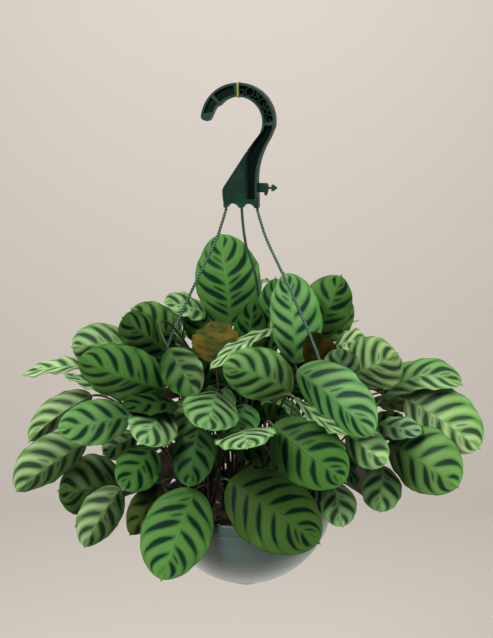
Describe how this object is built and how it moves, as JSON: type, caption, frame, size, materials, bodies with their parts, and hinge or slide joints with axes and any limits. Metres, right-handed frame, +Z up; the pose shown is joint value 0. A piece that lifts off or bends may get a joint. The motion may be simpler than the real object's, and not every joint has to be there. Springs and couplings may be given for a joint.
{
  "type": "potted calathea",
  "caption": "Bushy prayer plant with oval dark-barred leaves in a round-bottomed plastic hanging pot, held by rope-textured strands under a moulded hook.",
  "frame": {"origin": "middle of the hook's inner top, where the hook rests on what holds it", "axes": "+Z up along the hanging height, -Y to the picture's viewer, +X to the picture's right"},
  "size_m": [0.5372, 0.4503, 0.6044],
  "materials": {
    "pot": "translucent pale blue-green plastic with a faint fine ribbing",
    "soil": "loose dark potting mix of peat and bark",
    "hook": "dark green moulded plastic with a soft sheen",
    "strand": "dark green plastic with a twisted rope pattern",
    "tie": "thin yellow thread",
    "leaf": "satin leaf, pale green with dark green bars beside the midrib"
  },
  "bodies": {
    "root": {"pot": "pot", "soil": "soil", "hanger_hook": "hook", "hook_tie": "tie", "strand_left": "strand", "strand_right": "strand", "strand_back": "strand", "shoot_01": "leaf", "shoot_02": "leaf", "shoot_03": "leaf", "shoot_04": "leaf", "shoot_05": "leaf", "shoot_06": "leaf", "shoot_07": "leaf", "shoot_08": "leaf", "shoot_09": "leaf", "shoot_10": "leaf", "shoot_11": "leaf", "shoot_12": "leaf", "shoot_13": "leaf", "shoot_14": "leaf", "shoot_15": "leaf", "shoot_16": "leaf", "shoot_17": "leaf", "shoot_18": "leaf", "shoot_19": "leaf", "shoot_20": "leaf", "shoot_21": "leaf", "shoot_22": "leaf", "shoot_23": "leaf", "shoot_24": "leaf", "shoot_25": "leaf", "shoot_26": "leaf", "shoot_27": "leaf", "shoot_28": "leaf", "shoot_29": "leaf", "shoot_30": "leaf"}
  },
  "joints": []
}
